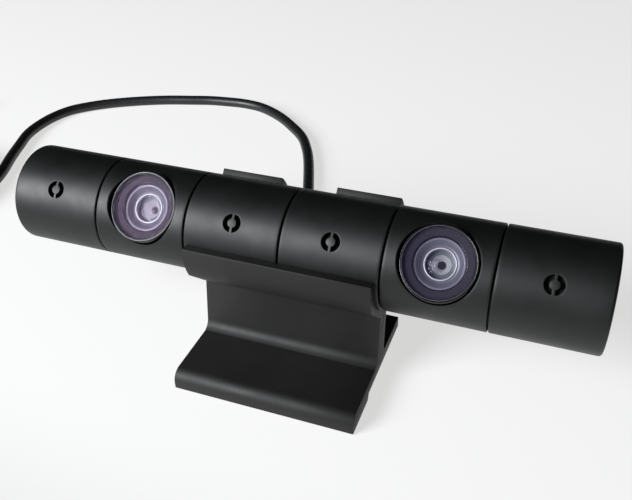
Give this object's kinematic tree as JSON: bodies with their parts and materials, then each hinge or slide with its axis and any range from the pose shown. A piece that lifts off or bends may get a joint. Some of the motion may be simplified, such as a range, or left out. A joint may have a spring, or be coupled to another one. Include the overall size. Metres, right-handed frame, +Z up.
{
  "type": "stereo camera",
  "caption": "Cylindrical two-lens camera bar with microphone ports, turning in the C-shaped cradle of a flat-based stand, with a captive cord and plug.",
  "frame": {"origin": "on the surface the stand rests on, under the middle of the camera and stand without the cord", "axes": "+X along the bar to its right-hand end seen from the front, the optics face -Y, +Z up"},
  "size_m": [0.3305, 0.199, 0.0581],
  "materials": {
    "shell_plastic": "fine textured black ABS",
    "frame_plastic": "black moulded, unpainted",
    "collar_plastic": "black, polished edge",
    "window_acrylic": "flat clear window, coated",
    "foam_gasket": "closed cell foam",
    "barrel_metal": "black anodised",
    "bright_ring": "bright turned",
    "coated_glass": "coated, violet reflection",
    "holder_plastic": "moulded",
    "filter_glass": "pale blue-green",
    "sensor_die": "cover glass over silicon",
    "circuit_board": "green solder mask",
    "flex_film": "amber polyimide",
    "sheet_aluminium": "brushed sheet",
    "chip_resin": "epoxy, matt",
    "gap_pad": "soft pale blue",
    "tinned_steel": "tinned, dull",
    "connector_plastic": "ivory nylon",
    "mesh_cloth": "fine black woven mesh",
    "boot_rubber": "moulded, matt",
    "mic_can": "gilt can",
    "screw_steel": "zinc plated",
    "stand_plastic": "dark grey-black, fine spark texture",
    "pad_rubber": "matt",
    "cord_jacket": "matt PVC jacket",
    "tie_strap": "woven hook-and-loop strap",
    "plug_plastic": "moulded PVC"
  },
  "bodies": {
    "stand": {"stand_bracket": "stand_plastic", "front_foot_pad": "pad_rubber", "rear_foot_pads": "pad_rubber", "cord_lead": "cord_jacket", "cord_run": "cord_jacket", "cord_coil": "cord_jacket", "cord_tail": "cord_jacket", "cord_tie": "tie_strap", "plug_relief": "plug_plastic", "plug_body": "plug_plastic", "plug_shell": "tinned_steel"},
    "bar": {"end_shell_left": "shell_plastic", "end_shell_right": "shell_plastic", "lens_shell_left": "shell_plastic", "lens_shell_right": "shell_plastic", "center_shell_left": "shell_plastic", "center_shell_right": "shell_plastic", "upper_frame": "frame_plastic", "lower_frame": "frame_plastic", "lens_collar_left": "collar_plastic", "lens_collar_right": "collar_plastic", "front_window_left": "window_acrylic", "front_window_right": "window_acrylic", "window_gasket_left": "foam_gasket", "window_gasket_right": "foam_gasket", "lens_barrel_left": "barrel_metal", "lens_barrel_right": "barrel_metal", "retaining_ring_left": "bright_ring", "retaining_ring_right": "bright_ring", "lens_elements_left": "coated_glass", "lens_elements_right": "coated_glass", "lens_holder_left": "holder_plastic", "lens_holder_right": "holder_plastic", "ir_filter_left": "filter_glass", "ir_filter_right": "filter_glass", "image_sensor_left": "sensor_die", "image_sensor_right": "sensor_die", "sensor_board_left": "circuit_board", "sensor_board_right": "circuit_board", "main_board": "circuit_board", "mic_boards": "circuit_board", "sensor_flex_left": "flex_film", "sensor_flex_right": "flex_film", "optics_bracket": "sheet_aluminium", "image_processor": "chip_resin", "memory_chips": "chip_resin", "thermal_pad": "gap_pad", "shield_can": "tinned_steel", "board_connectors": "connector_plastic", "mic_meshes": "mesh_cloth", "mic_boots": "boot_rubber", "cable_gland": "boot_rubber", "microphones": "mic_can", "frame_screws": "screw_steel", "board_screws": "screw_steel", "sensor_board_screws": "screw_steel"}
  },
  "joints": [
    {"name": "bar_tilt", "type": "hinge", "parent": "stand", "child": "bar", "pos_m": [0, 0.0069, 0.041], "axis": [1, 0, 0], "range_deg": [-15, 18], "deforming": ["cord_lead"]}
  ]
}
